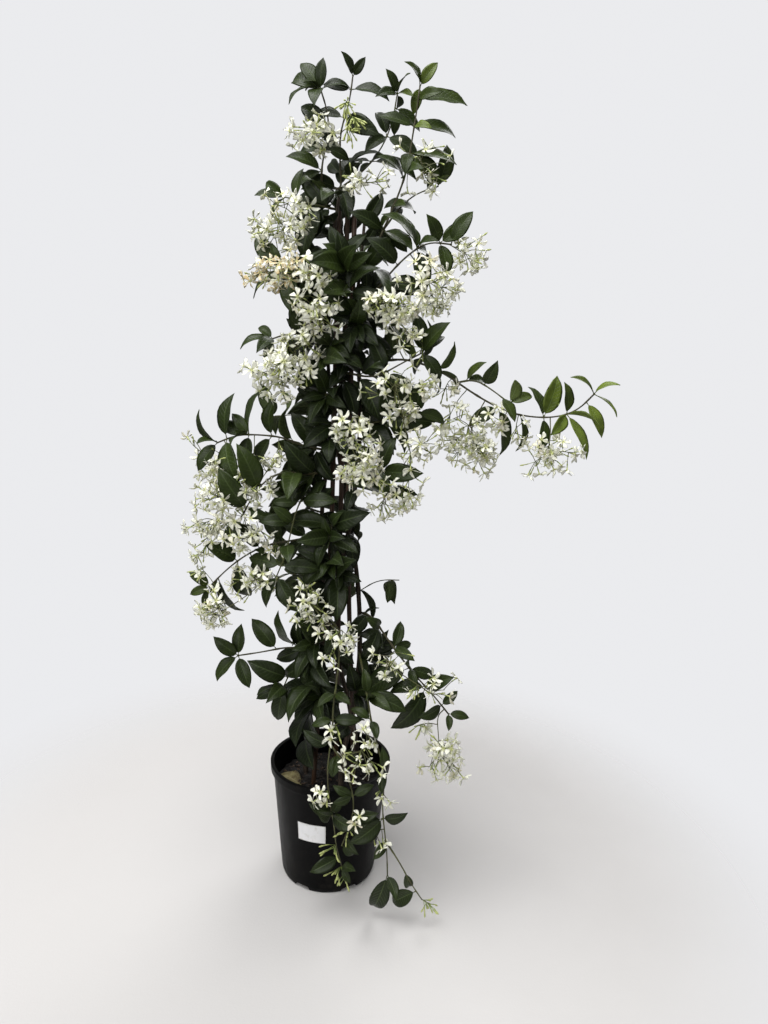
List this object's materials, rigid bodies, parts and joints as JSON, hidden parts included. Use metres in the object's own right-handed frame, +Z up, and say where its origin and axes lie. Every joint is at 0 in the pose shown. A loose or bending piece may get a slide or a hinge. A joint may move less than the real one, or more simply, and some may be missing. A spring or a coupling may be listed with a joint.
{
  "type": "potted star jasmine",
  "caption": "Climbing star jasmine in flower, trained up tied canes in a tapered round nursery pot with drain slots and a blank label.",
  "frame": {"origin": "centre of the pot's flat underside, on the floor", "axes": "+Z up along the pot's axis; -Y to the front, the side with the label and the falling shoots; +X to the right of the front, the side of the long branch"},
  "size_m": [0.6123, 0.2899, 1.1849],
  "materials": {
    "pot": "black, satin",
    "potting_mix": "dark bark and peat, rough",
    "cane": "brown bamboo, satin",
    "bark": "dark brown bark, rough",
    "tie": "black, matt",
    "label": "white paper label, blank",
    "clip": "teal, satin",
    "dry_leaf": "yellow-brown, dry",
    "foliage": "dark green, leathery, semi-gloss",
    "blossom": "cream white, matt"
  },
  "bodies": {
    "root": {"cane_back": "cane", "cane_left": "cane", "cane_right": "cane", "clip": "clip", "fallen_leaf": "dry_leaf", "label": "label", "pot": "pot", "shoot_back_high": "foliage", "shoot_back_low": "foliage", "shoot_back_middle": "foliage", "shoot_core_1": "foliage", "shoot_core_2": "foliage", "shoot_core_3": "foliage", "shoot_core_4": "foliage", "shoot_core_5": "foliage", "shoot_front_fall": "foliage", "shoot_left_high": "foliage", "shoot_left_long": "foliage", "shoot_left_low": "foliage", "shoot_left_lowest": "foliage", "shoot_left_middle": "foliage", "shoot_left_upper": "foliage", "shoot_right_fall": "foliage", "shoot_right_high": "foliage", "shoot_right_long": "foliage", "shoot_right_low": "foliage", "shoot_right_middle": "foliage", "shoot_right_upper": "foliage", "shoot_top_left": "foliage", "shoot_top_middle": "foliage", "shoot_top_right": "foliage", "soil": "potting_mix", "spray_back": "blossom", "spray_fall": "blossom", "spray_front_high": "blossom", "spray_front_low": "blossom", "spray_left_crown": "blossom", "spray_left_high": "blossom", "spray_left_low": "blossom", "spray_left_lowest": "blossom", "spray_left_middle": "blossom", "spray_left_tan": "blossom", "spray_left_tip": "blossom", "spray_left_upper": "blossom", "spray_right_crown": "blossom", "spray_right_high": "blossom", "spray_right_long": "blossom", "spray_right_low": "blossom", "spray_right_lowest": "blossom", "spray_right_middle": "blossom", "spray_right_tip": "blossom", "spray_right_upper": "blossom", "spray_top_left": "blossom", "spray_top_middle": "blossom", "spray_top_right": "blossom", "stem_back": "bark", "stem_left": "bark", "stem_right": "bark", "tie_lower": "tie", "tie_upper": "tie"}
  },
  "joints": []
}
